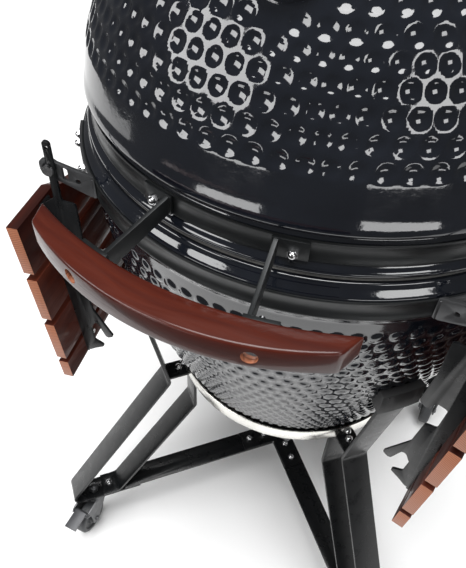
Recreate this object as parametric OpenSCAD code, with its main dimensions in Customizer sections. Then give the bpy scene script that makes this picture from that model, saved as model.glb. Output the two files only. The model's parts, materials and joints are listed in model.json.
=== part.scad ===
// Kamado ceramic grill on a four-leg caster stand, with two folding side shelves.
// Millimetres. +Z is up, the front faces -Y, and the origin is on the floor under the axis.
// Heights inside the modules are measured from the top edge of the lid band.

/* [Ceramic body] */
// Height of the lid band's top edge above the floor
rim_height = 910; // [880:5:960]
// Largest radius of the domed lid
dome_radius = 289.2; // [288:0.2:290]
// Height of the dome above its lower edge
dome_height = 308.7; // [300:0.1:320]
// Roundness of the dome, where 2 is an ellipse
dome_power = 1.6; // [1.5:0.05:1.8]
// Largest radius of the bowl under the lower band
bowl_radius = 290; // [288:0.5:291]
// Depth at which the bowl's curve would close
bowl_depth = 622.6; // [610:0.1:640]
// Roundness of the bowl, where 2 is an ellipse
bowl_power = 1.48; // [1.4:0.02:1.6]
// Thickness of the ceramic wall
wall = 23; // [20:0.5:25]

/* [Bands] */
// Outer radius of the lid band
lid_band_r = 285; // [284:0.5:286]
// Height of the lid band
lid_band_h = 24.9; // [22:0.1:26]
// Outer radius of the base band
base_band_r = 299.6; // [299:0.1:301]
// Thickness of both bands
band_t = 2; // [1.5:0.1:2.5]

/* [Handle] */
// Turn of the handle's clamp away from the centre, in degrees
handle_turn = -2.8; // [-4:0.1:4]
// Radius of the handle's inner face
handle_inner_r = 370; // [365:1:375]
// Radius of the handle's curved front
handle_front_r = 287; // [280:1:300]
// Height of the wooden handle
handle_h = 27; // [24:0.5:30]

/* [Side shelves] */
// Direction of the shelves, in degrees from the front
shelf_azimuth = 81; // [78:1:90]
// Length of the shelf boards
board_length = 510; // [480:5:530]
// Thickness of the shelf boards
board_t = 14; // [12:0.5:16]
// Lean of a hanging shelf towards the bowl, in degrees
shelf_lean = 4.5; // [3:0.1:5]

/* [Stand] */
// Width of the flat bars of the legs
bar_w = 41; // [36:1:44]
// Thickness of the flat bars
bar_t = 5; // [4:0.5:6]
// Radius of the caster circle
caster_circle_r = 390; // [380:1:400]
// Radius of a caster wheel
wheel_r = 35; // [32:1:36]
// How far a wheel trails behind its swivel
caster_trail = 28; // [24:1:30]

/* [Hidden] */
$fn = 96;

glaze = "#16191f";
dark_steel = "#26272a";
satin_steel = "#8c8e90";
bright_steel = "#d9d8d2";
varnished_wood = "#7a3420";
raw_ceramic = "#a89a86";

// Running clearance between a pin and its bore, and between plates that slide
running = 0.06;
sliding = 0.4;

// Seam between lid and base
lid_lip_z = -36.5;
base_lip_z = -42.1;
gasket_gap = 0.4;
gasket_t = (lid_lip_z - base_lip_z - gasket_gap) / 2;
seal_inner_r = 266;
seal_outer_r = 286;

// Dome and bowl
dome_start_z = 10;
dome_top_z = 300;
neck_r = 40;
bowl_start_z = -95;
shoulder_z = -485;
foot_r = 158;
foot_z = -538;
ash_floor_z = -526;
ash_r = 134;
ash_ledge_z = -466;
ledge_step = 12;
base_band_top = -56.5;
base_band_bottom = -81.4;

// Draft door at the front of the foot
boss_y = -160;
draft_half_w = 48;
draft_top_z = -502;

// Fire box, ring and grates
fire_top_z = -250;
ring_top_z = -110;
fire_wall = 20;
fire_r = 222;
rod_r = 2.5;
rod_pitch = 15;
grate_r = 246;

// Thermometer
gauge_z = 191;
gauge_r = 33;
gauge_seat = 2.5;

// Rear hinge
hinge_y = 345;
hinge_z = -36;
pin_r = 5;
spring_rod_y = 394;
spring_rod_z = -110;
spring_r = 9.5;
wire_r = 2;

// Side shelves, in a frame with +X outwards and +Y along the boards
pivot_n = 270;
pivot_z = -52;
shelf_pin_r = 4;
mount_y = 200.5;
mount_t = 4;
support_y = 205;
support_t = 3;
board_face = 28;
shelf_arc_r = 366;
board_starts = [51, 132, 213, 290];
board_widths = [70, 70, 68, 32];
flange_w = 20;
mount_root = 42.8;
mount_bolts = [38.4, 35, 25.5, 22.2];

// Stand
leg_azimuths = [-45, 45, 225, 135];
foot_level = -815;
hoop_r = 197;
hoop_top_z = -465;
tab_level = -490.5;
brace_level = foot_level + bar_t;
stay_r = 186;
stay_bolt_r = 360;
brace_bolt_r = 317;
hub_r = 82;
hub_t = 3;
leg_path = [[269.3, -266], [228, -496], [440, foot_level], [302, foot_level]];
stay_path = [[374, brace_level], [342, brace_level], [stay_r, -582], [stay_r, shoulder_z - hub_t]];

// Casters, measured from the floor
race_top = rim_height + foot_level - bar_t / 2;
race_h = 4.5;
fork_top = race_top - race_h - sliding;
fork_plate_h = 7;
stud_r = 6;
axle_r = 5;
wheel_half_w = 12;
cheek_x = 14;
cheek_t = 3;
brake_y = -46;
brake_z = 80;

// Geometry functions
function dome_r(z, r = dome_radius, h = dome_height) =
    r * pow(1 - pow((z - dome_start_z) / h, dome_power), 1 / dome_power);
function bowl_r(z, r = bowl_radius, h = bowl_depth) =
    r * pow(1 - pow((bowl_start_z - z) / h, bowl_power), 1 / bowl_power);
function unit(v) = v / norm(v);
function side(v) = [-v[1], v[0]];
function reversed(list) = [for (i = [len(list) - 1 : -1 : 0]) list[i]];

// An arc of radius r tangent to both sides of the corner p, with neighbours a and b
function corner_arc(a, p, b, r, steps = 5) =
    let (u = unit(a - p), v = unit(b - p))
    let (half = acos(max(-1, min(1, u * v))) / 2)
    let (cut = min(r / tan(half), 0.45 * min(norm(a - p), norm(b - p))))
    let (arc_r = cut * tan(half), centre = p + unit(u + v) * arc_r / sin(half))
    let (from = p + u * cut - centre, to = p + v * cut - centre, turn = 180 - 2 * half)
    [for (i = [0 : steps]) centre + (from * sin((1 - i / steps) * turn) + to * sin(i / steps * turn)) / sin(turn)];

// A closed outline with every corner rounded
function rounded(points, r) =
    let (n = len(points))
    [for (i = [0 : n - 1]) each corner_arc(points[(i + n - 1) % n], points[i], points[(i + 1) % n], r)];

// A bent bar seen from its edge, t thick, along an open path with bend radius r
function bent_path(path, r) =
    concat([path[0]],
        [for (i = [1 : len(path) - 2]) each corner_arc(path[i - 1], path[i], path[i + 1], r)],
        [path[len(path) - 1]]);
function bent_bar(path, t, r) =
    let (line = bent_path(path, r), last = len(line) - 1)
    let (across = [for (i = [0 : last]) side(unit(line[min(i + 1, last)] - line[max(i - 1, 0)])) * t / 2])
    concat([for (i = [0 : last]) line[i] + across[i]], reversed([for (i = [0 : last]) line[i] - across[i]]));

// A point s below the shelf pivot and t outwards, along the hanging boards
function hanging(s, t) = [
    pivot_n - s * sin(shelf_lean) + t * cos(shelf_lean),
    pivot_z - s * cos(shelf_lean) - t * sin(shelf_lean)
];

// Placing helpers
module at_rim() translate([0, 0, rim_height]) children();
module facing(azimuth) rotate([0, 0, azimuth - 90]) children();
module upright_plate(width) rotate([90, 0, 0]) translate([0, 0, -width / 2]) linear_extrude(width) children();
module ring(inner, outer, bottom, top) {
    translate([0, 0, bottom]) rotate_extrude() translate([inner, 0]) square([outer - inner, top - bottom]);
}
module arc_strap(inner, outer, bottom, top, from, to) {
    rotate([0, 0, from]) rotate_extrude(angle = to - from)
        translate([inner, bottom]) square([outer - inner, top - bottom]);
}
module box_between(low, high) translate(low) cube(high - low);
module rod_between(a, b, r) {
    d = b - a;
    translate(a) rotate([0, acos(d[2] / norm(d)), atan2(d[1], d[0])]) cylinder(r = r, h = norm(d), $fn = 24);
}
// A cap nut standing on the plane z = 0
module cap_nut(r = 6) {
    cylinder(r = r * 1.12, h = r * 0.7, $fn = 6);
    translate([0, 0, r * 0.7]) intersection() {
        sphere(r = r * 0.85, $fn = 24);
        cylinder(r = r, h = r, $fn = 24);
    }
}
// A cap nut pointing outwards from a round surface
module radial_nut(azimuth, surface_r, z, r = 6) {
    facing(azimuth) translate([surface_r, 0, z]) rotate([0, 90, 0]) cap_nut(r);
}

// Ceramic base and what it holds
module base_profile() {
    polygon(concat(
        [[seal_inner_r - 2, base_lip_z], [seal_outer_r, base_lip_z], [289.7, base_lip_z - 3.4]],
        [[base_band_r - band_t, base_band_top + 1], [base_band_r - band_t, base_band_bottom - 1]],
        [[base_band_r - 3.6, -86], [bowl_radius, bowl_start_z]],
        [for (z = [bowl_start_z - ledge_step : -ledge_step : shoulder_z + 6]) [bowl_r(z), z]],
        [[bowl_r(shoulder_z), shoulder_z], [ash_r, shoulder_z], [ash_r, ash_ledge_z]],
        [for (z = [ash_ledge_z : ledge_step : bowl_start_z]) [bowl_r(z, bowl_radius - wall - 1, bowl_depth - wall - 1), z]]
    ));
}
module base_shell() {
    color(glaze) at_rim() rotate_extrude() base_profile();
}
module base_foot() {
    color(glaze) at_rim() difference() {
        union() {
            difference() {
                translate([0, 0, foot_z]) cylinder(r = foot_r, h = shoulder_z - foot_z);
                translate([0, 0, ash_floor_z]) cylinder(r = ash_r, h = 60);
            }
            difference() {
                box_between([-60, boss_y, foot_z], [60, -120, -490]);
                translate([0, 0, foot_z - 1]) cylinder(r = foot_r - 10, h = 60);
            }
        }
        box_between([-draft_half_w, boss_y - 10, ash_floor_z], [draft_half_w, -100, draft_top_z]);
    }
}
module base_gasket() {
    color("#4a4844") at_rim() ring(seal_inner_r, seal_outer_r, base_lip_z, base_lip_z + gasket_t);
}
module base_band() {
    color(dark_steel) at_rim() ring(base_band_r - band_t, base_band_r, base_band_bottom, base_band_top);
}
module base_band_bolts() {
    color("silver") at_rim() {
        for (s = [0, 1]) mirror([s, 0, 0]) {
            for (a = mount_bolts) for (e = [-1, 1])
                radial_nut(shelf_azimuth + e * a, base_band_r + 3, -69, 4.5);
            radial_nut(180 - 9, base_band_r + 3, -69, 6);
        }
    }
}
module fire_box() {
    color(raw_ceramic) at_rim() difference() {
        rotate_extrude() polygon([
            [60, ash_ledge_z], [152, ash_ledge_z], [fire_r, fire_top_z],
            [fire_r - fire_wall, fire_top_z], [132, ash_ledge_z + 18], [60, ash_ledge_z + 18]
        ]);
        for (a = [0 : 60 : 300]) rotate([0, 0, a]) translate([95, 0, ash_ledge_z - 1]) cylinder(r = 9, h = 20, $fn = 24);
    }
}
module fire_ring() {
    color(raw_ceramic) at_rim() ring(fire_r - fire_wall, fire_r, fire_top_z, ring_top_z);
}
module charcoal_grate() {
    color("#303030") at_rim() translate([0, 0, ash_ledge_z + 18]) difference() {
        cylinder(r = 122, h = 8);
        for (x = [-96 : 16 : 96])
            translate([x - 3.5, -sqrt(110 * 110 - x * x), -1]) cube([7, 2 * sqrt(110 * 110 - x * x), 10]);
    }
}
module cooking_grate() {
    color(bright_steel) at_rim() translate([0, 0, ring_top_z]) {
        ring(grate_r - 6, grate_r, 0, 6);
        for (y = [-225 : rod_pitch : 225])
            translate([-sqrt(pow(grate_r - 3, 2) - y * y), y, 6 + rod_r]) rotate([0, 90, 0])
                cylinder(r = rod_r, h = 2 * sqrt(pow(grate_r - 3, 2) - y * y), $fn = 16);
        for (x = [-100, 100])
            box_between([x - 3, -217, 0], [x + 3, 217, 6]);
    }
}
module draft_frame() {
    color(satin_steel) at_rim() {
        difference() {
            box_between([-60, boss_y - 2, -537], [60, boss_y, -491]);
            box_between([-draft_half_w, boss_y - 3, ash_floor_z], [draft_half_w, boss_y + 1, draft_top_z]);
        }
        for (rail = [[-497, -494, -501], [-531, -528, -524]]) {
            box_between([-60, boss_y - 6.5, rail[0]], [60, boss_y - 2, rail[1]]);
            box_between([-60, boss_y - 6.5, min(rail[2], rail[0])], [60, boss_y - 5, max(rail[2], rail[0])]);
        }
    }
}
module draft_door() {
    color(satin_steel) at_rim() {
        box_between([-52, boss_y - 4.6, -527.6], [52, boss_y - 2.4, -497.4]);
        translate([-40, boss_y - 4.6, -512.5]) rotate([90, 0, 0]) cylinder(r = 5, h = 7, $fn = 24);
    }
}

// Lid and what it carries
module lid_profile() {
    polygon(concat(
        [[seal_inner_r, lid_lip_z], [seal_outer_r, lid_lip_z], [289.7, lid_lip_z + 3], [289.7, lid_lip_z + 5.5]],
        [[lid_band_r - band_t, -lid_band_h - 0.6], [lid_band_r - band_t, 0.4], [281, 2], [281, 8.5], [289.2, 11.1]],
        [[285, 27], [dome_r(60), 60]],
        [for (z = [71 : 11 : 292]) [dome_r(z), z]],
        [[dome_r(dome_top_z), dome_top_z], [neck_r, dome_top_z], [neck_r, 286]],
        [for (z = [284 : -11 : 20]) [dome_r(z, seal_inner_r, dome_height - wall - 0.7), z]],
        [[seal_inner_r, dome_start_z]]
    ));
}
// Frame of the thermometer: +Z leaves the dome at right angles
module at_gauge() {
    tilt = atan((dome_r(gauge_z - 1) - dome_r(gauge_z + 1)) / 2);
    at_rim() facing(0) translate([dome_r(gauge_z), 0, gauge_z]) rotate([0, 90 - tilt, 0]) children();
}
module lid_shell() {
    color(glaze) difference() {
        at_rim() rotate_extrude() lid_profile();
        at_gauge() translate([0, 0, -gauge_seat]) cylinder(r = gauge_r + 0.3, h = 20);
        at_gauge() translate([0, 0, -40]) cylinder(r = 4, h = 60, $fn = 24);
    }
}
module lid_gasket() {
    color("#4a4844") at_rim() ring(seal_inner_r, seal_outer_r, lid_lip_z - gasket_t, lid_lip_z);
}
module lid_band() {
    color(dark_steel) at_rim() ring(lid_band_r - band_t, lid_band_r, -lid_band_h, 0);
}
module lid_band_bolts() {
    color("silver") at_rim() {
        for (e = [-1, 1]) radial_nut(e * 14.2 + handle_turn, lid_band_r + 3, -15, 5);
        for (e = [-1, 1]) radial_nut(180 + e * 6, lid_band_r + 3, -12.5, 5);
    }
}
module handle_outline() {
    intersection() {
        difference() {
            translate([handle_inner_r + 32 - handle_front_r, 0]) circle(r = handle_front_r, $fn = 128);
            circle(r = handle_inner_r, $fn = 128);
        }
        // Slanted ends
        polygon([[200, -241], [334.8, -157.5], [360.6, -148.6], [420, -128], [420, 128],
            [360.6, 148.6], [334.8, 157.5], [200, 241]]);
    }
}
module handle_bar() {
    color(varnished_wood) at_rim() facing(handle_turn) difference() {
        translate([0, 0, -14 - handle_h]) linear_extrude(handle_h) handle_outline();
        for (a = [-12.4, 12.4]) rotate([0, 0, a]) {
            translate([350, 0, -27.5]) rotate([0, 90, 0]) cylinder(r = 3.05, h = 60, $fn = 24);
            translate([391, 0, -27.5]) rotate([0, 90, 0]) cylinder(r = 7, h = 20, $fn = 24);
        }
    }
}
module handle_brackets() {
    color(dark_steel) at_rim() facing(handle_turn) for (e = [0, 1]) mirror([0, e, 0]) {
        arc_strap(lid_band_r, lid_band_r + 3, -23, -2, 10.2, 17);
        rotate([0, 0, 11]) upright_plate(4)
            polygon([[lid_band_r + 1.5, -3], [lid_band_r + 1.5, -22], [368, -39], [368, -17]]);
        difference() {
            arc_strap(366, handle_inner_r, -40, -16, 10.2, 15);
            rotate([0, 0, 12.4]) translate([350, 0, -27.5]) rotate([0, 90, 0]) cylinder(r = 3.05, h = 60, $fn = 24);
        }
    }
}
module handle_bolts() {
    color("silver") at_rim() facing(handle_turn) for (a = [-12.4, 12.4]) rotate([0, 0, a]) {
        translate([357, 0, -27.5]) rotate([0, 90, 0]) cylinder(r = 3, h = 36, $fn = 24);
        translate([391, 0, -27.5]) rotate([0, 90, 0]) cylinder(r = 6.4, h = 3.5, $fn = 24);
        translate([362, 0, -27.5]) rotate([0, 90, 0]) cylinder(r = 6.5, h = 4, $fn = 6);
    }
}
module thermometer_case() {
    color("silver") at_gauge() {
        difference() {
            translate([0, 0, -gauge_seat]) cylinder(r = gauge_r, h = 13.5);
            translate([0, 0, 2]) cylinder(r = gauge_r - 3.5, h = 12);
        }
        translate([0, 0, -gauge_seat - 65]) cylinder(r = 3, h = 66, $fn = 24);
    }
}
module thermometer_dial() {
    color("white") at_gauge() {
        translate([0, 0, 2]) cylinder(r = gauge_r - 3.6, h = 1);
        translate([0, 0, 3]) cylinder(r = 3, h = 1.5, $fn = 24);
        rotate([0, 0, 200]) translate([-4, -0.6, 3]) cube([24, 1.2, 0.8]);
    }
}
module thermometer_glass() {
    color([0.8, 0.9, 0.9, 0.4]) at_gauge() translate([0, 0, 7]) cylinder(r = gauge_r - 3.6, h = 2);
}

// Top vent
petal_count = 5;
petal_r = 8.5;
petal_ring_r = 18.5;
vent_top = dome_top_z + 6;
slide_z = vent_top + sliding;
slide_t = 3;
daisy_z = slide_z + slide_t + sliding;
module petals(turn) {
    for (i = [0 : petal_count - 1]) rotate([0, 0, i * 360 / petal_count + turn])
        translate([petal_ring_r, 0, -5]) cylinder(r = petal_r, h = 20, $fn = 32);
}
module vent_base() {
    color("#3a3b3d") at_rim() {
        ring(36, neck_r - 0.5, 286, dome_top_z + 1);
        ring(36, 62, dome_top_z, vent_top);
        for (e = [0, 1]) mirror([e, 0, 0]) {
            box_between([44, -38, vent_top - 0.5], [48, 38, vent_top + 5.5]);
            box_between([39, -38, vent_top + 4.2], [45, 38, vent_top + 5.5]);
        }
    }
}
module vent_slide() {
    color("#3a3b3d") at_rim() translate([0, 0, slide_z]) difference() {
        union() {
            box_between([-43.6, -46, 0], [43.6, 46, slide_t]);
            box_between([-12, 40, 0], [12, 46, 10]);
        }
        petals(0);
        translate([0, 0, -1]) cylinder(r = 4.05, h = 10, $fn = 32);
    }
}
module vent_daisy() {
    color("#3a3b3d") at_rim() translate([0, 0, daisy_z]) difference() {
        union() {
            cylinder(r = 31, h = 2.5);
            box_between([-5, -42, 0], [5, -25, 2.5]);
            box_between([-5, -42, 0], [5, -39, 9]);
        }
        petals(180 / petal_count);
        translate([0, 0, -1]) cylinder(r = 4 + running, h = 10, $fn = 32);
    }
}
module vent_pivot() {
    color("silver") at_rim() translate([0, 0, slide_z]) {
        cylinder(r = 4, h = daisy_z - slide_z + 3.5, $fn = 32);
        translate([0, 0, daisy_z - slide_z + 2.9]) cylinder(r = 7.5, h = 2.6, $fn = 32);
    }
}

// Rear hinge
module hinge_ear(x, t, points, boss, bore_r) {
    for (e = [0, 1]) mirror([e, 0, 0]) translate([x, 0, 0]) rotate([90, 0, 90]) linear_extrude(t) difference() {
        union() {
            polygon(points);
            translate([hinge_y, hinge_z]) circle(r = boss, $fn = 48);
        }
        translate([hinge_y, hinge_z]) circle(r = bore_r, $fn = 48);
    }
}
module hinge_lid_bracket() {
    color(dark_steel) at_rim() {
        difference() {
            hinge_ear(50, 6, [[275, -2], [275, -23], [338, -46], [352, -26]], 12, pin_r + running);
            translate([0, 0, -60]) cylinder(r = lid_band_r + 0.5, h = 80);
        }
        arc_strap(lid_band_r, lid_band_r + 3, -23, -2, 90 - 13, 90 + 13);
    }
}
module hinge_base_bracket() {
    color(dark_steel) at_rim() {
        difference() {
            union() {
                hinge_ear(62, 6, [[288, -59], [288, -80], [388, -116], [401, -106], [356, -30], [333, -40]], 13, pin_r + 0.05);
                for (e = [0, 1]) mirror([e, 0, 0]) translate([62, spring_rod_y, spring_rod_z])
                    rotate([0, 90, 0]) cylinder(r = 7.9, h = 6, $fn = 48);
            }
            translate([0, 0, -120]) cylinder(r = base_band_r + 0.5, h = 140);
        }
        arc_strap(base_band_r, base_band_r + 3, -80, -58, 90 - 16, 90 + 16);
        translate([-66, spring_rod_y, spring_rod_z]) rotate([0, 90, 0]) cylinder(r = 6, h = 132, $fn = 48);
    }
}
module hinge_pin() {
    color("silver") at_rim() translate([-72, hinge_y, hinge_z]) rotate([0, 90, 0]) {
        cylinder(r = pin_r, h = 144, $fn = 48);
        for (x = [-2, 140.6]) translate([0, 0, x]) cylinder(r = 9, h = 3.4, $fn = 48);
    }
}
// Torsion springs on the hinge pin, with their tails against the rear rod
module hinge_springs() {
    reach = [spring_rod_y - hinge_y - spring_r, spring_rod_z - hinge_z];
    aside = side(unit(reach)) * (-6 - wire_r - 0.2);
    color("silver") at_rim() for (e = [0, 1]) mirror([e, 0, 0]) {
        for (x = [16 : 4.2 : 46]) translate([x, hinge_y, hinge_z]) rotate([0, 90, 0])
            rotate_extrude() translate([spring_r, 0]) circle(r = wire_r, $fn = 24);
        for (x = [16, 45.4]) rod_between(
            [x, hinge_y + spring_r, hinge_z],
            [x, spring_rod_y + aside[0], spring_rod_z + aside[1]], wire_r);
    }
}

// Side shelves: the right shelf is drawn, and the left one is its mirror image
module on_side(e) mirror([e, 0, 0]) at_rim() rotate([0, 0, shelf_azimuth - 90]) children();
module at_both_ends() for (e = [0, 1]) mirror([0, e, 0]) children();
module plate_at(y, t) translate([0, y + t, 0]) rotate([90, 0, 0]) linear_extrude(t) children();
module shelf_mounts(e) {
    color("#77787a") on_side(e) at_both_ends() {
        difference() {
            plate_at(mount_y, mount_t) difference() {
                polygon(rounded([[212, -56], [212, -81], [226, -81], [283, -61], [283, -43], [268, -43]], 8));
                translate([pivot_n, pivot_z]) circle(r = shelf_pin_r + 0.05, $fn = 32);
                polygon(rounded([[250, -50], [257, -48], [257, -65], [250, -67]], 3));
                translate([239, -64]) circle(r = 3.2, $fn = 32);
            }
            translate([0, 0, -120]) cylinder(r = base_band_r + 0.5, h = 140);
        }
        arc_strap(base_band_r, base_band_r + 3, -81, -57, 20, mount_root);
    }
}
module shelf_pins() {
    color("silver") for (e = [0, 1]) on_side(e) at_both_ends()
        translate([pivot_n, mount_y - 3.4, pivot_z]) rotate([-90, 0, 0]) {
            cylinder(r = 7, h = 3.2, $fn = 32);
            cylinder(r = shelf_pin_r, h = 15, $fn = 32);
            translate([0, 0, 11.6]) cylinder(r = 6.5, h = 3.4, $fn = 32);
        }
}
// Outline of the folding web plate: arm, cut-out, hook and outer edge
web_outline = [
    [263, -16], [263, -94], [246, -95], [246, -145], [241, -199], [251, -207], [258, -190],
    [271, -192], [269, -230], [256, -233], [251, -276], [226.5, -324.5], [237.5, -331],
    [249.5, -298], [259.5, -317], [257, -342], [241, -351], [258, -362],
    hanging(320, board_face - 1), hanging(54, board_face - 1), [272, -92], [272, -16]
];
module screw_places() {
    for (i = [0 : 3]) for (y = [192, 200]) translate([0, y - 4 * (i % 2), 0]) {
        place = hanging(board_starts[i] + board_widths[i] * (y > 195 ? 0.7 : 0.3), board_face);
        translate([place[0], 0, place[1]]) rotate([0, 90 + shelf_lean, 0]) children();
    }
}
module shelf_supports(e) {
    color(dark_steel) on_side(e) at_both_ends() difference() {
        union() {
            plate_at(support_y, support_t) union() {
                polygon(rounded(web_outline, 4));
                translate([pivot_n, pivot_z]) circle(r = 8, $fn = 48);
            }
            // Flange under the boards
            plate_at(support_y + support_t - flange_w, flange_w)
                polygon([hanging(54, board_face - 3), hanging(320, board_face - 3),
                    hanging(320, board_face), hanging(54, board_face)]);
        }
        plate_at(support_y - 1, support_t + 2) {
            translate([pivot_n, pivot_z]) circle(r = shelf_pin_r + running, $fn = 48);
            translate([267.5, -24]) circle(r = 2, $fn = 24);
        }
        screw_places() translate([0, 0, -10]) cylinder(r = 2.1, h = 20, $fn = 16);
    }
}
module shelf_boards(e) {
    color(varnished_wood) on_side(e) difference() {
        for (i = [0 : 3]) plate_at(-board_length / 2, board_length) {
            s = board_starts[i];
            polygon([hanging(s, board_face), hanging(s + board_widths[i], board_face),
                hanging(s + board_widths[i], board_face + board_t), hanging(s, board_face + board_t)]);
        }
        at_both_ends() screw_places() translate([0, 0, -1]) cylinder(r = 2.1, h = 11.5, $fn = 16);
        // Arc of the inner edge, which clears the bands when the shelf is up
        translate([pivot_n, 0, pivot_z]) rotate([0, shelf_lean, 0]) translate([0, 0, pivot_n])
            rotate([0, 90, 0]) cylinder(r = shelf_arc_r, h = 60, $fn = 180);
    }
}
module shelf_screws(e) {
    color("silver") on_side(e) at_both_ends() screw_places() {
        translate([0, 0, -3]) cylinder(r = 2, h = 13, $fn = 16);
        translate([0, 0, -5.2]) cylinder(r = 4, h = 2.2, $fn = 24);
    }
}

// Stand
module at_legs() for (a = leg_azimuths) facing(a) children();
module upright_hole(r, at, bottom, top) translate([at, 0, bottom]) cylinder(r = r, h = top - bottom, $fn = 32);
module leg(azimuth) {
    color(dark_steel) at_rim() facing(azimuth) difference() {
        union() {
            upright_plate(bar_w) polygon(bent_bar(leg_path, bar_t, 16));
            box_between([stay_r + 3.5, -15, tab_level - 2.5], [230, 15, tab_level + 2.5]);
        }
        upright_hole(stud_r + 0.05, caster_circle_r, foot_level - 10, foot_level + 10);
        upright_hole(4.05, stay_bolt_r, foot_level - 10, foot_level + 10);
        upright_hole(4.05, brace_bolt_r, foot_level - 10, foot_level + 10);
        upright_hole(4.05, hoop_r + 11, tab_level - 10, tab_level + 10);
    }
}
module leg_stays() {
    color(dark_steel) at_rim() at_legs() difference() {
        upright_plate(bar_w) polygon(bent_bar(stay_path, bar_t, 14));
        upright_hole(4.05, stay_bolt_r, brace_level - 10, brace_level + 10);
    }
}
module cross_brace() {
    color(dark_steel) at_rim() at_legs() difference() {
        box_between([21, -bar_w / 2, brace_level - bar_t / 2], [332, bar_w / 2, brace_level + bar_t / 2]);
        for (at = [34, 66, brace_bolt_r]) upright_hole(4.05, at, brace_level - 10, brace_level + 10);
    }
}
module cross_hub() {
    color(dark_steel) at_rim() difference() {
        for (a = [45, 135]) rotate([0, 0, a]) translate([0, 0, brace_level + bar_t / 2])
            box_between([-hub_r, -bar_w / 2 + 1, 0], [hub_r, bar_w / 2 - 1, hub_t]);
        at_legs() for (at = [34, 66]) upright_hole(4.05, at, brace_level - 10, brace_level + 20);
    }
}
module bolt(at, bottom, seat) {
    translate([at, 0, bottom]) cylinder(r = 4, h = seat - bottom, $fn = 24);
    translate([at, 0, seat]) cap_nut(6);
}
module stand_bolts() {
    color("silver") at_rim() at_legs() {
        bolt(stay_bolt_r, foot_level - bar_t / 2, brace_level + bar_t / 2);
        bolt(brace_bolt_r, foot_level - bar_t / 2, brace_level + bar_t / 2);
        bolt(hoop_r + 11, tab_level - 2.5, tab_level + 2.5);
        for (at = [34, 66]) bolt(at, brace_level - bar_t / 2, brace_level + bar_t / 2 + hub_t);
        translate([hoop_r, 0, hoop_top_z - 9]) rotate([0, 90, 0]) cap_nut(5);
    }
}
module leg_pads() {
    color("#1b1b1c") at_rim() at_legs() difference() {
        rotate([0, 0, -6.1]) rotate_extrude(angle = 12.2) polygon(concat(
            [for (z = [-262 : -7.4 : -299]) [bowl_r(z) + 0.6, z]],
            [[273, -299], [273, -262]]
        ));
        upright_plate(bar_w + 0.8) polygon(bent_bar([[269.5, -265], [228, -496]], bar_t + 0.8, 1));
    }
}
module stand_ring() {
    color(bright_steel) at_rim() {
        ring(hoop_r - 3, hoop_r, shoulder_z - hub_t, hoop_top_z);
        ring(foot_r + 7, hoop_r - 2.5, shoulder_z - hub_t, shoulder_z);
    }
}

// Casters
module at_caster(azimuth) {
    translate([caster_circle_r * sin(azimuth), -caster_circle_r * cos(azimuth), 0]) children();
}
module caster_studs() {
    color("silver") for (a = leg_azimuths) at_caster(a) {
        translate([0, 0, 70]) cylinder(r = stud_r, h = race_top + bar_t - 70 + 2, $fn = 48);
        translate([0, 0, 70]) cylinder(r = 10, h = 6, $fn = 48);
        translate([0, 0, race_top - race_h]) cylinder(r = 21, h = race_h, $fn = 48);
        translate([0, 0, race_top + bar_t]) cap_nut(9);
    }
}
module caster_fork(azimuth, braked) {
    color(satin_steel) at_caster(azimuth) difference() {
        union() {
            translate([0, 0, fork_top - fork_plate_h]) cylinder(r = 20, h = fork_plate_h, $fn = 48);
            for (e = [0, 1]) mirror([e, 0, 0]) translate([cheek_x, 0, 0]) rotate([90, 0, 90])
                linear_extrude(cheek_t) difference() {
                    union() {
                        polygon([[-12, fork_top], [12, fork_top], [10, 70], [-20, 30], [-caster_trail - 10, 36], [-40, 80]]);
                        if (braked) polygon([[-12, fork_top], [-44, fork_top], [-52, 80], [-44, 72], [-30, 60]]);
                        translate([-caster_trail, wheel_r]) circle(r = 11, $fn = 48);
                    }
                    if (braked) translate([brake_y, brake_z]) circle(r = 3 + running, $fn = 32);
                }
            translate([-cheek_x - cheek_t - 3, -caster_trail, wheel_r]) rotate([0, 90, 0])
                cylinder(r = axle_r, h = 2 * (cheek_x + cheek_t + 3), $fn = 48);
        }
        translate([0, 0, 60]) cylinder(r = stud_r + running, h = 40, $fn = 48);
    }
}
module caster_wheel(azimuth) {
    color("#55585b") at_caster(azimuth) translate([0, -caster_trail, wheel_r]) rotate([0, 90, 0]) rotate_extrude()
        polygon([
            [axle_r + running, -wheel_half_w], [14, -wheel_half_w], [15, -7], [25, -7], [26, -10],
            [32, -10], [wheel_r, -7], [wheel_r, 7], [32, 10], [26, 10], [25, 7], [15, 7],
            [14, wheel_half_w], [axle_r + running, wheel_half_w]
        ]);
}
module caster_brake(azimuth) {
    color("#3c3e40") at_caster(azimuth) translate([0, brake_y, brake_z]) {
        translate([-18, 0, 0]) rotate([0, 90, 0]) cylinder(r = 3, h = 36, $fn = 32);
        translate([-12, 0, 0]) rotate([0, 90, 0]) cylinder(r = 4.5, h = 24, $fn = 32);
        box_between([-12, -36, 1.5], [12, 0, 4.4]);
    }
}

base_shell();
base_foot();
base_gasket();
base_band();
base_band_bolts();
fire_box();
fire_ring();
charcoal_grate();
cooking_grate();
draft_frame();
draft_door();
lid_shell();
lid_gasket();
lid_band();
lid_band_bolts();
handle_bar();
handle_brackets();
handle_bolts();
thermometer_case();
thermometer_glass();
thermometer_dial();
vent_base();
vent_slide();
vent_daisy();
vent_pivot();
hinge_lid_bracket();
hinge_base_bracket();
hinge_pin();
hinge_springs();
shelf_mounts(1);  // shelf_mounts_left
shelf_mounts(0);  // shelf_mounts_right
shelf_pins();
shelf_supports(1);  // shelf_supports_left
shelf_supports(0);  // shelf_supports_right
shelf_boards(1);  // shelf_boards_left
shelf_boards(0);  // shelf_boards_right
shelf_screws(1);  // shelf_screws_left
shelf_screws(0);  // shelf_screws_right
stand_ring();
leg(leg_azimuths[0]);  // leg_front_left
leg(leg_azimuths[1]);  // leg_front_right
leg(leg_azimuths[2]);  // leg_rear_left
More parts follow.
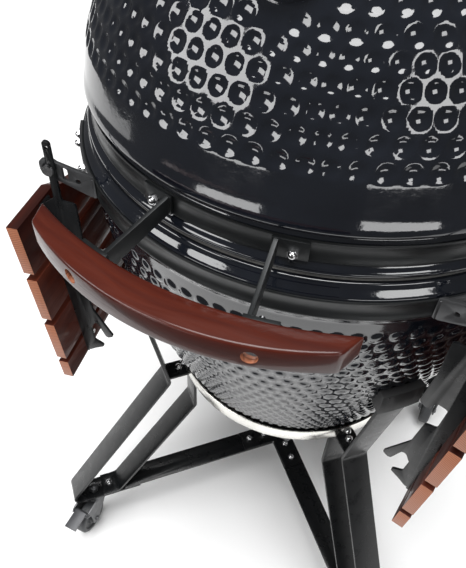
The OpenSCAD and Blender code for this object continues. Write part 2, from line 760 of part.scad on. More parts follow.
leg(leg_azimuths[3]);  // leg_rear_right
leg_stays();
cross_brace();
cross_hub();
leg_pads();
stand_bolts();
caster_studs();
caster_fork(leg_azimuths[0], true);  // caster_fork_front_left
caster_fork(leg_azimuths[1], true);  // caster_fork_front_right
caster_fork(leg_azimuths[2], false);  // caster_fork_rear_left
caster_fork(leg_azimuths[3], false);  // caster_fork_rear_right
caster_wheel(leg_azimuths[0]);  // caster_wheel_front_left
caster_wheel(leg_azimuths[1]);  // caster_wheel_front_right
caster_wheel(leg_azimuths[2]);  // caster_wheel_rear_left
caster_wheel(leg_azimuths[3]);  // caster_wheel_rear_right
caster_brake(leg_azimuths[0]);  // caster_brake_left
caster_brake(leg_azimuths[1]);  // caster_brake_right
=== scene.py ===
# Kamado ceramic grill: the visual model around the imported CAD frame. Metres, +Z up, front -Y.
import json
import math

import bmesh
import bpy
import numpy as np
from mathutils import Matrix, Vector


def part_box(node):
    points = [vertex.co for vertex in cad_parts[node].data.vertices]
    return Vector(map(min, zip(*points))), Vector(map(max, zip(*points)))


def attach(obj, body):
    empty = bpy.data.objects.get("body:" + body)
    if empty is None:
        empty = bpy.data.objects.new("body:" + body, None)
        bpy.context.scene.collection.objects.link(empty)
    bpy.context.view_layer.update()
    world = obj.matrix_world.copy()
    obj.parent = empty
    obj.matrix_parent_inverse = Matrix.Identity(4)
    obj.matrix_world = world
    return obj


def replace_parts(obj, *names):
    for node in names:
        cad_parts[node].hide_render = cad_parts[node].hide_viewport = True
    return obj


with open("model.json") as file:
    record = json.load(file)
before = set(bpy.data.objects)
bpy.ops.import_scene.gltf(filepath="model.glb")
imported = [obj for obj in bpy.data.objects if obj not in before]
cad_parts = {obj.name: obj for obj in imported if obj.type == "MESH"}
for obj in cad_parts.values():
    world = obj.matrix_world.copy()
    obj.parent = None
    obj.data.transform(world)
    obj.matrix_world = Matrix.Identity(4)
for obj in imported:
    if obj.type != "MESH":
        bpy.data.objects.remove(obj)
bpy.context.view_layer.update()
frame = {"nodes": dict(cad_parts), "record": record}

MM = 0.001
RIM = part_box("lid_band")[1].z
BODY_OF = {n: b for b, ns in frame["record"]["behaviour"]["bodies"].items() for n in ns}
SLOT_OF = {s["node"]: s["material_slot"] for s in frame["record"]["subparts"]}


# ---------------------------------------------------------------- materials
def new_material(name, color, roughness, metallic=0.0, **sockets):
    """A Principled material and its node helpers."""
    material = bpy.data.materials.new(name)
    material.use_nodes = True
    shader = material.node_tree.nodes["Principled BSDF"]
    shader.inputs["Base Color"].default_value = (*color, 1.0)
    shader.inputs["Roughness"].default_value = roughness
    shader.inputs["Metallic"].default_value = metallic
    for socket, value in sockets.items():
        shader.inputs[socket.replace("_", " ")].default_value = value
    material.diffuse_color = (*color, 1.0)
    return material, shader


def add(material, kind, **settings):
    node = material.node_tree.nodes.new(kind)
    for key, value in settings.items():
        if key in node.inputs:
            node.inputs[key].default_value = value
        else:
            setattr(node, key, value)
    return node


def link(material, out, into):
    material.node_tree.links.new(out, into)


def coordinates(material, scale=(1, 1, 1), attribute=None):
    """Object coordinates, or a vector stored on the mesh, scaled per axis."""
    mapping = add(material, "ShaderNodeMapping")
    mapping.inputs["Scale"].default_value = scale
    if attribute:
        source = add(material, "ShaderNodeAttribute", attribute_name=attribute).outputs["Vector"]
    else:
        source = add(material, "ShaderNodeTexCoord").outputs["Object"]
    link(material, source, mapping.inputs["Vector"])
    return mapping.outputs["Vector"]


def noise(material, vector, scale, detail=3.0, rough=0.55):
    node = add(material, "ShaderNodeTexNoise")
    node.inputs["Scale"].default_value = scale
    node.inputs["Detail"].default_value = detail
    node.inputs["Roughness"].default_value = rough
    link(material, vector, node.inputs["Vector"])
    return node.outputs["Fac"]


def ramp(material, value, stops):
    """Colours or greys at places along a value: [(place, colour), ...]."""
    node = add(material, "ShaderNodeValToRGB")
    elements = node.color_ramp.elements
    while len(elements) < len(stops):
        elements.new(0.5)
    for element, (place, color) in zip(elements, stops):
        element.position = place
        element.color = (*color, 1.0) if isinstance(color, tuple) else (color, color, color, 1.0)
    link(material, value, node.inputs["Fac"])
    return node.outputs["Color"]


def spread(material, value, low, high, from_low=0.3, from_high=0.7):
    node = add(material, "ShaderNodeMapRange")
    for key, number in (("From Min", from_low), ("From Max", from_high), ("To Min", low), ("To Max", high)):
        node.inputs[key].default_value = number
    link(material, value, node.inputs["Value"])
    return node.outputs["Result"]


def bump(material, shader, height, strength, distance):
    node = add(material, "ShaderNodeBump")
    node.inputs["Strength"].default_value = strength
    node.inputs["Distance"].default_value = distance
    link(material, height, node.inputs["Height"])
    link(material, node.outputs["Normal"], shader.inputs["Normal"])


def shade(color, factor):
    return tuple(min(1.0, c * factor) for c in color)


def mottled(name, color, roughness, metallic=0.0, grain=900.0, depth=0.00004, strength=0.3,
            patch=14.0, contrast=0.25, rough_spread=0.06, stretch=(1, 1, 1), **sockets):
    """A finish with slow colour patches, uneven gloss and a fine surface grain."""
    material, shader = new_material(name, color, roughness, metallic, **sockets)
    where = coordinates(material)
    patches = noise(material, where, patch, 4.0)
    stops = [(0.3, shade(color, 1 - contrast)), (0.7, shade(color, 1 + contrast))]
    link(material, ramp(material, patches, stops), shader.inputs["Base Color"])
    uneven = noise(material, where, patch * 4, 3.0)
    link(material, spread(material, uneven, roughness - rough_spread, roughness + rough_spread),
         shader.inputs["Roughness"])
    fine = noise(material, coordinates(material, stretch), grain, 2.0)
    bump(material, shader, fine, strength, depth)
    return material


def glazed():
    color = (0.006, 0.0075, 0.011)
    material, shader = new_material("glazed_ceramic", color, 0.07, 0.0, IOR=1.6,
                                    Coat_Weight=0.35, Coat_Roughness=0.03)
    where = coordinates(material)
    pooled = noise(material, where, 9.0, 4.0)
    link(material, ramp(material, pooled, [(0.3, (0.004, 0.005, 0.008)), (0.7, (0.009, 0.011, 0.016))]),
         shader.inputs["Base Color"])
    link(material, spread(material, noise(material, where, 45.0), 0.05, 0.11), shader.inputs["Roughness"])
    orange_peel = noise(material, where, 160.0, 2.0)
    bump(material, shader, orange_peel, 0.16, 0.0006)
    return material


def felt():
    material, shader = new_material("gasket_felt", (0.09, 0.088, 0.085), 0.95, Sheen_Weight=0.3)
    fibres = noise(material, coordinates(material), 700.0, 5.0, 0.7)
    link(material, ramp(material, fibres, [(0.3, (0.05, 0.049, 0.047)), (0.7, (0.13, 0.127, 0.12))]),
         shader.inputs["Base Color"])
    bump(material, shader, fibres, 0.8, 0.0004)
    return material


def wood(name, dark, mid, light, gloss, pore=0.35):
    """Varnished wood: long streaks, fine pores along the grain and a clear coat."""
    material, shader = new_material(name, mid, 0.38, Coat_Weight=gloss, Coat_Roughness=0.09, IOR=1.5,
                                    Specular_IOR_Level=0.2)
    streaks = noise(material, coordinates(material, (2.2, 26, 26), "grain"), 1.0, 5.0, 0.6)
    stops = [(0.3, dark), (0.5, mid), (0.72, light)]
    link(material, ramp(material, streaks, stops), shader.inputs["Base Color"])
    pores = noise(material, coordinates(material, (22, 520, 520), "grain"), 1.0, 3.0, 0.6)
    link(material, spread(material, pores, 0.3, 0.48), shader.inputs["Roughness"])
    bump(material, shader, pores, pore, 0.00012)
    return material


def end_grain():
    material, shader = new_material("shelf_end_grain", (0.38, 0.135, 0.065), 0.5,
                                    Coat_Weight=0.15, Coat_Roughness=0.2)
    rings = add(material, "ShaderNodeTexWave", wave_type="RINGS", rings_direction="X")
    rings.inputs["Scale"].default_value = 110.0
    rings.inputs["Distortion"].default_value = 3.0
    rings.inputs["Detail"].default_value = 3.0
    link(material, coordinates(material, (0.3, 1, 1), "grain"), rings.inputs["Vector"])
    link(material, ramp(material, rings.outputs["Fac"], [(0.1, (0.3, 0.1, 0.045)), (0.9, (0.46, 0.17, 0.085))]),
         shader.inputs["Base Color"])
    bump(material, shader, rings.outputs["Fac"], 0.25, 0.0002)
    return material


def clear_glass():
    material, shader = new_material("gauge_glass", (0.95, 0.98, 0.98), 0.02, 0.0,
                                    Transmission_Weight=1.0, IOR=1.45)
    smears = noise(material, coordinates(material), 60.0)
    link(material, spread(material, smears, 0.01, 0.06), shader.inputs["Roughness"])
    return material


MATERIALS = {
    "glazed_ceramic": glazed(),
    "gasket_felt": felt(),
    "band_steel": mottled("band_steel", (0.016, 0.0175, 0.0185), 0.36, 0.45, grain=1100, contrast=0.15),
    "stand_steel": mottled("stand_steel", (0.006, 0.0065, 0.0072), 0.3, grain=1300, strength=0.35,
                           Specular_IOR_Level=0.3),
    "mount_steel": mottled("mount_steel", (0.07, 0.071, 0.074), 0.36, 0.6, grain=300, stretch=(1, 1, 9)),
    "bolt_steel": mottled("bolt_steel", (0.62, 0.62, 0.63), 0.16, 1.0, grain=500, strength=0.1, patch=60),
    "bright_steel": mottled("bright_steel", (0.72, 0.71, 0.67), 0.24, 1.0, grain=120, stretch=(1, 1, 12)),
    "fire_ceramic": mottled("fire_ceramic", (0.42, 0.35, 0.27), 0.9, grain=420,
                            depth=0.0004, strength=0.6, patch=8),
    "vent_iron": mottled("vent_iron", (0.03, 0.03, 0.032), 0.55, 0.5, grain=650, depth=0.0002, strength=0.6),
    "handle_wood": wood("handle_wood", (0.018, 0.0028, 0.0018), (0.055, 0.0075, 0.0035),
                        (0.115, 0.019, 0.0075), 0.45),
    "shelf_wood": wood("shelf_wood", (0.018, 0.0032, 0.002), (0.05, 0.0085, 0.0042), (0.1, 0.02, 0.009), 0.35),
    "gauge_chrome": mottled("gauge_chrome", (0.7, 0.7, 0.71), 0.08, 1.0, grain=200,
                            strength=0.05, rough_spread=0.03),
    "gauge_face": mottled("gauge_face", (0.8, 0.8, 0.78), 0.45, grain=1500, contrast=0.05, strength=0.1),
    "gauge_glass": clear_glass(),
    "pad_rubber": mottled("pad_rubber", (0.016, 0.016, 0.017), 0.6, grain=800, depth=0.0001),
    "caster_steel": mottled("caster_steel", (0.12, 0.123, 0.127), 0.38, 0.8, grain=260, patch=40),
    "caster_wheel": mottled("caster_wheel", (0.035, 0.037, 0.04), 0.5, grain=700, depth=0.0001, patch=30),
    "brake_steel": mottled("brake_steel", (0.05, 0.051, 0.055), 0.4, 0.3, grain=900),
}
END_GRAIN = end_grain()
PRINT_BLACK = mottled("dial_print", (0.02, 0.02, 0.02), 0.5, grain=1500)


# ---------------------------------------------------------------- mesh helpers
def make_object(name, vertices, faces, body, slot, sharp=40, material=None):
    mesh = bpy.data.meshes.new(name)
    mesh.from_pydata([tuple(v) for v in vertices], [], [tuple(f) for f in faces])
    mesh.update()
    return finish_piece(name, mesh, body, slot, sharp, material)


def finish_piece(name, mesh, body, slot, sharp=40, material=None):
    piece = bpy.data.objects.new(name, mesh)
    bpy.context.scene.collection.objects.link(piece)
    mesh.materials.clear()
    mesh.materials.append(material or MATERIALS[slot])
    smooth_shade(mesh, sharp)
    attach(piece, body)
    return piece


def smooth_shade(mesh, sharp):
    mesh.shade_smooth()
    mesh.set_sharp_from_angle(angle=math.radians(sharp))


def apply_modifiers(piece):
    bpy.context.view_layer.update()
    evaluated = piece.evaluated_get(bpy.context.evaluated_depsgraph_get())
    mesh = bpy.data.meshes.new_from_object(evaluated)
    piece.modifiers.clear()
    old = piece.data
    piece.data = mesh
    bpy.data.meshes.remove(old)
    return mesh


def bevel(piece, width, segments=2, angle=30):
    modifier = piece.modifiers.new("bevel", "BEVEL")
    modifier.width = width
    modifier.segments = segments
    modifier.limit_method = "ANGLE"
    modifier.angle_limit = math.radians(angle)
    modifier.harden_normals = False
    return apply_modifiers(piece)


def bevelled(node, width, segments=2, sharp=35):
    """A copy of a CAD node with broken edges, which stands for it."""
    mesh = frame["nodes"][node].data.copy()
    model = bmesh.new()
    model.from_mesh(mesh)
    bmesh.ops.remove_doubles(model, verts=model.verts, dist=0.000002)
    bmesh.ops.dissolve_limit(model, angle_limit=math.radians(1.0), verts=model.verts, edges=model.edges)
    model.to_mesh(mesh)
    model.free()
    piece = finish_piece("soft_edged_" + node, mesh, BODY_OF[node], SLOT_OF[node], sharp)
    bevel(piece, width, segments)
    smooth_shade(piece.data, sharp)
    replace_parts(piece, node)
    return piece


def unit(v):
    return v / np.linalg.norm(v)


def rounded_path(points, radius, steps=5, closed=False):
    """The points with each corner (or each inner corner) turned into an arc."""
    points = [np.array(p, float) for p in points]
    count = len(points)
    path = [] if closed else [points[0]]
    for i in range(count) if closed else range(1, count - 1):
        a, p, b = points[i - 1], points[i], points[(i + 1) % count]
        u, v = unit(a - p), unit(b - p)
        half = math.acos(max(-1.0, min(1.0, float(u @ v)))) / 2
        if half > 1.5:
            path.append(p)
            continue
        cut = min(radius / math.tan(half), 0.45 * np.linalg.norm(a - p), 0.45 * np.linalg.norm(b - p))
        centre = p + unit(u + v) * cut / math.cos(half)
        start, end, turn = p + u * cut - centre, p + v * cut - centre, math.pi - 2 * half
        for k in range(steps + 1):
            t = k / steps
            path.append(centre + (start * math.sin((1 - t) * turn) + end * math.sin(t * turn)) / math.sin(turn))
    if not closed:
        path.append(points[-1])
    return np.array(path)


def resampled(path, step):
    """Evenly spaced points along a path, at about the given step."""
    lengths = np.concatenate([[0], np.cumsum(np.linalg.norm(np.diff(path, axis=0), axis=1))])
    places = np.linspace(0, lengths[-1], int(round(lengths[-1] / step)) + 1)
    return places, np.stack([np.interp(places, lengths, path[:, i]) for i in (0, 1)], 1)


def ring_faces(rings, columns, wrap):
    """Quads between neighbouring rings of vertices, and between the last and first if wrap."""
    j = np.arange(rings if wrap else rings - 1)[:, None]
    k = np.arange(columns)[None, :]
    a = j * columns + k
    b = j * columns + (k + 1) % columns
    up = (j + 1) % rings * columns
    return np.stack([a, b, up + (k + 1) % columns, up + k], -1).reshape(-1, 4)


def revolved(name, outline, body, slot, columns=192, sharp=35, from_deg=0.0, to_deg=360.0):
    """A closed outline of (r, z) points turned about the axis, z in mm from the rim."""
    outline = np.array(outline, float)
    full = to_deg - from_deg >= 360
    turns = np.radians(np.linspace(from_deg, to_deg, columns, endpoint=not full))
    rings = [[(r * math.sin(a) * MM, -r * math.cos(a) * MM, RIM + z * MM) for a in turns] for r, z in outline]
    faces = [tuple(f) for f in ring_faces(len(outline), columns, True)] if full else []
    vertices = [p for ring in rings for p in ring]
    if not full:
        n = columns
        for j in range(len(outline)):
            up = (j + 1) % len(outline) * n
            faces += [(j * n + k, j * n + k + 1, up + k + 1, up + k) for k in range(n - 1)]
        faces.append(tuple(j * n for j in range(len(outline))))
        faces.append(tuple(j * n + n - 1 for j in reversed(range(len(outline)))))
    piece = make_object(name, vertices, faces, body, slot, sharp)
    outward_normals(piece.data)
    smooth_shade(piece.data, sharp)
    return piece


def outward_normals(mesh):
    model = bmesh.new()
    model.from_mesh(mesh)
    bmesh.ops.recalc_face_normals(model, faces=model.faces)
    model.to_mesh(mesh)
    model.free()


# ---------------------------------------------------------------- dimpled ceramic shells
DIMPLE_STEP = 2.3


def dome_r(z, r=289.2, h=308.7):
    return r * (1 - ((z - 10) / h) ** 1.6) ** (1 / 1.6)


def lid_r(z):
    """The dome, with a straight taper and a flared foot below its dimples."""
    return float(np.interp(z, (11, 27, 60), (289.2, 285.0, 279.3))) if z < 60 else dome_r(z)


def bowl_r(z, r=290.0, h=622.6):
    return r * (1 - ((-95 - z) / h) ** 1.48) ** (1 / 1.48)


def dimpled_shell(name, outer, inner, rows, columns, body, clear_of=None):
    """A closed shell whose outer side carries rows of round pits.
    rows: (place along the outline, count, phase, radius, depth). clear_of: (point, distance) kept smooth."""
    places, profile = resampled(outer, DIMPLE_STEP)
    turn = np.linspace(0, 2 * math.pi, columns, endpoint=False)
    s = np.repeat(places[:, None], columns, 1)
    a = np.repeat(turn[None, :], len(places), 0)
    sink = np.zeros_like(s)
    for place, count, phase, radius, depth in rows:
        near = np.abs(places - place) < radius + DIMPLE_STEP
        r = np.interp(place, places, profile[:, 0])
        z = np.interp(place, places, profile[:, 1])
        step = a[near] * count / (2 * math.pi) - phase
        number = np.round(step)
        dx = (step - number) * 2 * math.pi * r / count
        dy = s[near] - place
        rho = np.hypot(dx, dy)
        on_rim = np.abs(rho - radius) < 0.45 * DIMPLE_STEP
        pull = np.where(on_rim, radius / np.maximum(rho, 0.1), 1.0)
        use = rho < radius + 0.45 * DIMPLE_STEP
        if clear_of:
            middle = (number + phase) * 2 * math.pi / count
            gap = np.sqrt((r * np.sin(middle) - clear_of[0][0]) ** 2
                          + (-r * np.cos(middle) - clear_of[0][1]) ** 2 + (z - clear_of[0][2]) ** 2)
            use &= gap > clear_of[1] + radius
        rho = np.where(on_rim, radius, rho)
        pit = depth * np.clip(1 - (rho / radius) ** 2.4, 0, 1)
        sink[near] = np.where(use, pit, sink[near])
        a[near] = np.where(use, a[near] + dx * (pull - 1) / r, a[near])
        s[near] = np.where(use, place + dy * pull, s[near])
    slope = np.gradient(profile, places, axis=0)
    slope /= np.linalg.norm(slope, axis=1)[:, None]
    r = np.interp(s, places, profile[:, 0]) - sink * np.interp(s, places, slope[:, 1])
    z = np.interp(s, places, profile[:, 1]) + sink * np.interp(s, places, slope[:, 0])
    inner = np.array(inner, float)
    r = np.concatenate([r, np.repeat(inner[:, :1], columns, 1)])
    z = np.concatenate([z, np.repeat(inner[:, 1:], columns, 1)])
    a = np.concatenate([a, np.repeat(turn[None, :], len(inner), 0)])
    vertices = np.stack([r * np.sin(a) * MM, -r * np.cos(a) * MM, RIM + z * MM], -1).reshape(-1, 3)
    return make_object(name, vertices, ring_faces(len(r), columns, True), body, "glazed_ceramic", 50)


def dimple_rows(profile_at, first, last, spacing, pitch_high, pitch_low, size, depth):
    """Staggered rows, with a count that drops when the dimples come too close."""
    rows, place, count, shift = [], first, 0, 0.0
    while place < last:
        r = profile_at(place)
        pitch = 2 * math.pi * r / count if count else 0
        if not pitch_low <= pitch <= pitch_high:
            count = int(round(2 * math.pi * r / pitch_high))
            pitch = 2 * math.pi * r / count
        shift = 0.5 - shift
        rows.append((place, count, shift, size * pitch, depth * pitch))
        place += spacing * pitch
    return rows


def make_lid():
    lip = rounded_path([(270, -36.5), (289.7, -36.5), (289.7, -30.5), (283, -25.4), (283, 0.4), (280.5, 2),
                        (280.5, 7.5), (288.6, 10.2), (lid_r(18), 18)], 3.2)
    heights = np.concatenate([np.arange(20, 288, 2.0), np.arange(288, 299, 1.5)])
    dome = np.array([(lid_r(z), z) for z in heights])
    top = [(dome_r(300), 300), (52, 300.2)]
    outer = np.concatenate([lip, dome, top])
    inner = [(40, 300), (40, 287)]
    inner += [(dome_r(z, 266, 285), z) for z in np.arange(284, 12, -16.0)] + [(266, 10), (266, -36.5)]
    places, profile = resampled(outer, 1.0)
    radius_at = lambda place: np.interp(place, places, profile[:, 0])
    start = np.interp(68, profile[:, 1][np.argmax(profile[:, 1] > 12):],
                      places[np.argmax(profile[:, 1] > 12):])
    end = np.interp(288, profile[:, 1][np.argmax(profile[:, 1] > 12):], places[np.argmax(profile[:, 1] > 12):])
    rows = dimple_rows(radius_at, start, end, 1.0, 21.3, 18.4, 0.425, 0.12)
    low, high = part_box("thermometer_dial")
    middle = (low + high) / 2 / MM
    piece = dimpled_shell("dimpled_lid", outer, inner, rows, 810, "lid",
                          ((middle.x, middle.y, middle.z - RIM / MM), 36))
    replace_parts(piece, "lid_shell")


def make_base():
    lip = rounded_path([(268, -42.1), (289.7, -42.1), (290.5, -47), (297.6, -54.5), (297.6, -83.5), (294, -88),
                        (290.2, -96), (bowl_r(-106), -106)], 3.0)
    bowl = np.array([(bowl_r(z), z) for z in np.arange(-110, -484, -4.0)])
    outer = np.concatenate([lip, bowl, [(bowl_r(-485), -485), (160, -485)]])
    inner = [(158, -485), (134, -485), (134, -466)]
    inner += [(bowl_r(z, 266, 598.6), z) for z in np.arange(-466, -96, 20.0)] + [(266, -92), (264, -42.1)]
    places, profile = resampled(outer, 1.0)
    radius_at = lambda place: np.interp(place, places, profile[:, 0])
    start, end = (np.interp(-z, -profile[:, 1], places) for z in (-122, -468))
    rows = dimple_rows(radius_at, start, end, 1.0, 20.4, 12.0, 0.43, 0.12)
    bowl_piece = dimpled_shell("dimpled_bowl", outer, inner, rows, 792, "base")
    outline = [(0.01, -526), (134, -526), (134, -485.05), (158, -485.05), (158, -538), (0.01, -538)]
    foot = revolved("ceramic_foot", outline, "base", "glazed_ceramic", 96)
    low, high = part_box("draft_frame")
    boolean_box(foot, (-0.06, high.y, RIM - 0.538), (0.06, -0.14, low.z + 0.0465), "UNION")
    boolean_box(foot, (-0.048, high.y - 0.02, RIM - 0.526), (0.048, -0.1, RIM - 0.502), "DIFFERENCE")
    smooth_shade(foot.data, 30)
    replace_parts(bowl_piece, "base_shell")
    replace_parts(foot, "base_foot")


def boolean_box(piece, low, high, operation):
    """Joins a box to the piece or cuts it away."""
    tool_mesh = bpy.data.meshes.new("tool")
    model = bmesh.new()
    middle = [(a + b) / 2 for a, b in zip(low, high)]
    size = [b - a for a, b in zip(low, high)]
    bmesh.ops.create_cube(model, size=1.0, matrix=Matrix.Translation(middle) @ Matrix.Diagonal((*size, 1.0)))
    model.to_mesh(tool_mesh)
    model.free()
    tool = bpy.data.objects.new("tool", tool_mesh)
    bpy.context.scene.collection.objects.link(tool)
    modifier = piece.modifiers.new("cut", "BOOLEAN")
    modifier.object = tool
    modifier.operation = operation
    apply_modifiers(piece)
    bpy.data.objects.remove(tool)


# ---------------------------------------------------------------- bands and gaskets
def make_bands():
    """Clamp bands of sheet steel with rolled edges."""
    for name, node, r, high, low, body in (("rolled_lid_band", "lid_band", 285, 0, -24.9, "lid"),
                                           ("rolled_base_band", "base_band", 299.6, -56.5, -81.4, "base")):
        outline = [(r - 2.1, high - 0.6), (r - 1.2, high), (r - 0.3, high - 0.2), (r, high - 1.2), (r, high - 3.2),
                   (r - 0.7, high - 4.2), (r - 0.7, low + 4.2), (r, low + 3.2), (r, low + 1.2), (r - 0.3, low + 0.2),
                   (r - 1.2, low), (r - 2.1, low + 0.6)]
        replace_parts(revolved(name, outline, body, "band_steel", 256, 60), node)


def make_gaskets():
    for node, body in (("lid_gasket", "lid"), ("base_gasket", "base")):
        low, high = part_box(node)
        z0, z1 = (low.z - RIM) / MM, (high.z - RIM) / MM
        outline = [(266, z0 + 0.4), (266.6, z0), (285.2, z0), (286, z0 + 0.7),
                   (286, z1 - 0.7), (285.2, z1), (266.6, z1), (266, z1 - 0.4)]
        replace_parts(revolved("felt_" + node, outline, body, "gasket_felt", 192, 60), node)


# ---------------------------------------------------------------- wooden handle and shelves
HANDLE_TURN = math.radians(-2.8)
HANDLE_TOP, HANDLE_BOTTOM = -14.0, -41.0
HANDLE_INNER, HANDLE_FRONT, FRONT_CENTRE = 370.0, 287.0, 115.0
INNER_HALF_WIDTH, FRONT_HALF_WIDTH = 157.5, 148.6


def store_grain(piece, function):
    mesh = piece.data
    attribute = mesh.attributes.new("grain", "FLOAT_VECTOR", "POINT")
    values = np.array([function(v.co) for v in mesh.vertices], np.float32)
    attribute.data.foreach_set("vector", values.ravel())


def make_handle():
    half_inner = math.asin(INNER_HALF_WIDTH / HANDLE_INNER)
    half_outer = math.asin(FRONT_HALF_WIDTH / HANDLE_FRONT)
    steps = 40
    front = [(HANDLE_FRONT * math.sin(a), FRONT_CENTRE + HANDLE_FRONT * math.cos(a))
             for a in np.linspace(-half_outer, half_outer, steps)]
    back = [(HANDLE_INNER * math.sin(a), HANDLE_INNER * math.cos(a))
            for a in np.linspace(half_inner, -half_inner, steps)]
    outline = front + back
    count = len(outline)
    vertices = []
    for z in (HANDLE_BOTTOM, HANDLE_TOP):
        for x, out in outline:
            point = Vector((x * MM, -out * MM, RIM + z * MM))
            vertices.append(Matrix.Rotation(HANDLE_TURN, 4, "Z") @ point)
    faces = [tuple(range(count)), tuple(reversed(range(count, 2 * count)))]
    faces += [(i, (i + 1) % count, (i + 1) % count + count, i + count) for i in range(count)]
    handle = make_object("wooden_handle", vertices, faces, "lid", "handle_wood", 60)
    outward_normals(handle.data)
    bevel(handle, 0.003, 4, 40)
    for side in (-12.4, 12.4):
        bore_handle(handle, math.radians(side) + HANDLE_TURN)
    smooth_shade(handle.data, 35)
    store_grain(handle, lambda p: (math.atan2(p.x, -p.y) * 0.38, math.hypot(p.x, p.y), p.z))
    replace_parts(handle, "handle_bar")


def bore_handle(handle, azimuth):
    """A countersunk bolt hole through the front face."""
    mesh = bpy.data.meshes.new("bore")
    mesh.materials.append(END_GRAIN)
    model = bmesh.new()
    profile = [(0.0031, 0.36), (0.0031, 0.3905), (0.0070, 0.3925), (0.0076, 0.42)]
    rings = []
    for radius, out in profile:
        ring = []
        for k in range(32):
            t = 2 * math.pi * k / 32
            local = Vector((out, radius * math.cos(t), RIM - 0.0275 + radius * math.sin(t)))
            ring.append(model.verts.new(Matrix.Rotation(azimuth - math.pi / 2, 4, "Z") @ local))
        rings.append(ring)
    for a, b in zip(rings, rings[1:]):
        for k in range(32):
            model.faces.new((a[k], a[(k + 1) % 32], b[(k + 1) % 32], b[k]))
    model.faces.new(rings[0])
    model.faces.new(list(reversed(rings[-1])))
    bmesh.ops.recalc_face_normals(model, faces=model.faces)
    model.to_mesh(mesh)
    model.free()
    tool = bpy.data.objects.new("bore", mesh)
    bpy.context.scene.collection.objects.link(tool)
    modifier = handle.modifiers.new("bore", "BOOLEAN")
    modifier.object = tool
    modifier.operation = "DIFFERENCE"
    modifier.material_mode = "TRANSFER"
    apply_modifiers(handle)
    bpy.data.objects.remove(tool)


def make_boards():
    for side in ("left", "right"):
        node = "shelf_boards_" + side
        turn = math.radians(9 if side == "left" else -9)
        along = Matrix.Rotation(turn, 3, "Z") @ Vector((0, 1, 0))
        piece = bevelled(node, 0.0016, 3)
        mesh = piece.data
        mesh.materials.append(END_GRAIN)
        for polygon in mesh.polygons:
            if abs(polygon.normal.dot(along)) > 0.8:
                polygon.material_index = 1
        across = along.cross(Vector((0, 0, 1)))
        store_grain(piece, lambda p: (p.dot(along), p.dot(across), p.z))


# ---------------------------------------------------------------- metal parts
def tube(name, path, radius, body, slot, sides=14):
    """A round wire swept along a path of points."""
    path = [Vector(p) for p in path]
    count = len(path)
    side = Vector((1, 0, 0))
    vertices, faces = [], []
    for i, point in enumerate(path):
        ahead = (path[min(i + 1, count - 1)] - path[max(i - 1, 0)]).normalized()
        side = (side - ahead * side.dot(ahead)).normalized()
        up = ahead.cross(side)
        for k in range(sides):
            t = 2 * math.pi * k / sides
            vertices.append(point + (side * math.cos(t) + up * math.sin(t)) * radius)
    for i in range(count - 1):
        for k in range(sides):
            a, b = i * sides + k, i * sides + (k + 1) % sides
            faces.append((a, b, b + sides, a + sides))
    faces.append(tuple(reversed(range(sides))))
    faces.append(tuple(range((count - 1) * sides, count * sides)))
    piece = make_object(name, vertices, faces, body, slot, 60)
    outward_normals(piece.data)
    return piece


def make_springs():
    """Two torsion springs wound on the hinge pin, with tails down to the rear rod."""
    low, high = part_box("hinge_springs")
    pin_low, pin_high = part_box("hinge_pin")
    centre = (pin_low + pin_high) / 2
    coil_r, wire_r, turns = 0.0095, 0.002, 7
    foot = Vector((0, high.y - 0.004, low.z + 0.004))
    for e, name in ((-1, "spring_left"), (1, "spring_right")):
        x0, x1 = 0.016, 0.0454
        coil = []
        for k in range(turns * 20 + 1):
            t = k / (turns * 20)
            angle = 2 * math.pi * turns * t
            x, y, z = e * (x0 + (x1 - x0) * t), coil_r * math.cos(angle), coil_r * math.sin(angle)
            coil.append((x, centre.y + y, centre.z + z))
        path = [(e * x0, foot.y, foot.z), (e * x0, centre.y + coil_r, centre.z - 0.004)]
        path += coil + [(e * x1, centre.y + coil_r, centre.z - 0.004), (e * x1, foot.y, foot.z)]
        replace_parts(tube(name, path, wire_r, "base", "bolt_steel"), "hinge_springs")


def make_gauge():
    """Graduations printed on the dial: plain ticks with no lettering."""
    tilt = math.radians(90) - math.atan((dome_r(190) - dome_r(192)) / 2)
    surface = Vector((0, -dome_r(191) * MM, RIM + 0.191))
    axes = Matrix.Translation(surface) @ Matrix.Rotation(tilt, 4, "X")
    vertices, faces = [], []
    for k in range(41):
        angle = math.radians(225 - 270 * k / 40)
        inner, half = (0.0215, 0.0005) if k % 5 == 0 else (0.0238, 0.0003)
        out = Vector((math.cos(angle), math.sin(angle), 0))
        across = Vector((-out.y, out.x, 0)) * half
        base = len(vertices)
        for z in (0.00302, 0.00315):
            for r, s in ((inner, -1), (0.0262, -1), (0.0262, 1), (inner, 1)):
                vertices.append(axes @ (out * r + across * s + Vector((0, 0, z))))
        faces += [(base + 3, base + 2, base + 1, base), (base + 4, base + 5, base + 6, base + 7)]
        faces += [(base + i, base + (i + 1) % 4, base + 4 + (i + 1) % 4, base + 4 + i) for i in range(4)]
    make_object("dial_ticks", vertices, faces, "lid", "gauge_face", 30, PRINT_BLACK)


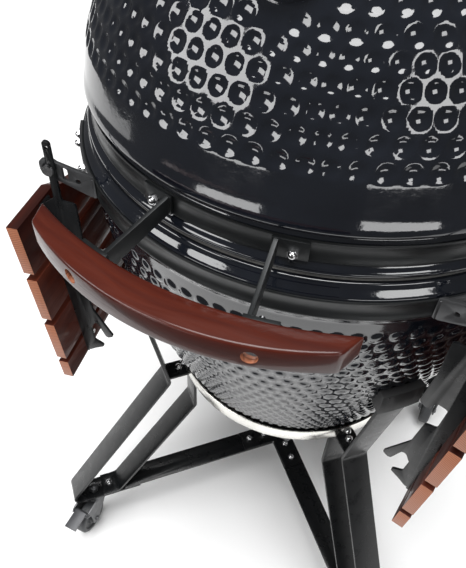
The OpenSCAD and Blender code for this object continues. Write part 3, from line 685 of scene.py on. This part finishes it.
def dress_cad():
    """Every other CAD node keeps its shape and takes its slot's finish."""
    edges = {
        "leg_front_left": 0.0007, "leg_front_right": 0.0007, "leg_rear_left": 0.0007, "leg_rear_right": 0.0007,
        "leg_stays": 0.0007, "cross_brace": 0.0007, "cross_hub": 0.0005, "leg_pads": 0.0015,
        "shelf_supports_left": 0.0004, "shelf_supports_right": 0.0004,
        "shelf_mounts_left": 0.0005, "shelf_mounts_right": 0.0005,
        "handle_brackets": 0.0005, "hinge_lid_bracket": 0.0005, "hinge_base_bracket": 0.0005,
        "caster_fork_front_left": 0.0005, "caster_fork_front_right": 0.0005,
        "caster_fork_rear_left": 0.0005, "caster_fork_rear_right": 0.0005,
        "caster_brake_left": 0.0008, "caster_brake_right": 0.0008,
        "caster_wheel_front_left": 0.001, "caster_wheel_front_right": 0.001,
        "caster_wheel_rear_left": 0.001, "caster_wheel_rear_right": 0.001,
        "stand_ring": 0.0008, "thermometer_case": 0.001, "vent_base": 0.0008, "vent_slide": 0.0006,
        "vent_daisy": 0.0005, "draft_frame": 0.0004, "draft_door": 0.0004, "fire_box": 0.003, "fire_ring": 0.003,
        "charcoal_grate": 0.0008,
    }
    for node, width in edges.items():
        bevelled(node, width)
    for node, piece in frame["nodes"].items():
        for index in range(max(1, len(piece.material_slots))):
            if not piece.material_slots:
                piece.data.materials.append(MATERIALS[SLOT_OF[node]])
            else:
                piece.material_slots[index].material = MATERIALS[SLOT_OF[node]]


# ---------------------------------------------------------------- stage
FLOOR_COLOR = (0.93, 0.93, 0.93)


def make_floor():
    mesh = bpy.data.meshes.new("floor")
    model = bmesh.new()
    bmesh.ops.create_grid(model, x_segments=8, y_segments=8, size=1.0,
                          matrix=Matrix.Translation((0, 0.95, 0)) @ Matrix.Diagonal((2.5, 1.8, 1.0, 1.0)))
    model.to_mesh(mesh)
    model.free()
    floor = bpy.data.objects.new("floor", mesh)
    bpy.context.scene.collection.objects.link(floor)
    mesh.materials.append(mottled("floor_paper", FLOOR_COLOR, 0.8, grain=60, contrast=0.01, patch=2))


def area_light(name, azimuth, elevation, distance, width, height, radiance, target=(0, -0.1, 0.95)):
    """A softbox seen from the target at the given azimuth from the front and elevation, in degrees."""
    a, e = math.radians(azimuth), math.radians(elevation)
    target = Vector(target)
    where = target + Vector((math.sin(a) * math.cos(e), -math.cos(a) * math.cos(e), math.sin(e))) * distance
    data = bpy.data.lights.new(name, "AREA")
    data.shape = "RECTANGLE"
    data.size, data.size_y = width, height
    data.energy = radiance * math.pi * width * height
    light = bpy.data.objects.new(name, data)
    bpy.context.scene.collection.objects.link(light)
    light.location = where
    light.rotation_euler = (target - where).to_track_quat("-Z", "Y").to_euler()


def make_lights():
    area_light("softbox_left", -40, 23, 1.9, 1.3, 0.68, 7)
    area_light("softbox_right", 56, 26, 1.9, 0.62, 0.5, 7)
    area_light("low_left", -21, -12, 1.4, 0.72, 0.16, 5, (-0.01, -0.287, 0.93))
    area_light("low_right", 47, -12, 1.4, 0.8, 0.16, 5, (0.134, -0.252, 0.93))
    sun = bpy.data.lights.new("overhead", "SUN")
    sun.energy = 3.5
    sun.angle = math.radians(40)
    overhead = bpy.data.objects.new("overhead", sun)
    bpy.context.scene.collection.objects.link(overhead)
    overhead.rotation_euler = (math.radians(6), 0, 0)
    world = bpy.data.worlds.new("studio")
    world.use_nodes = True
    background = world.node_tree.nodes["Background"]
    background.inputs["Color"].default_value = (1, 1, 1, 1)
    background.inputs["Strength"].default_value = 0.12
    bpy.context.scene.world = world


def make_camera():
    data = bpy.data.cameras.new("camera")
    data.sensor_width = 36.0
    data.lens = 39.39
    camera = bpy.data.objects.new("camera", data)
    bpy.context.scene.collection.objects.link(camera)
    right = Vector((0.9017, 0.4312, 0.0332))
    up = Vector((-0.3364, 0.6511, 0.6803))
    ahead = Vector((-0.2717, 0.6246, -0.7322))
    turn = Matrix((right, up, -ahead)).transposed().to_4x4()
    camera.matrix_world = Matrix.Translation((0.1651, -0.6572, RIM + 0.3573)) @ turn
    bpy.context.scene.camera = camera


make_camera()
make_lid()
make_base()
make_bands()
make_gaskets()
make_handle()
make_boards()
make_springs()
make_gauge()
dress_cad()
make_floor()
make_lights()
bpy.context.scene.view_settings.view_transform = "Standard"
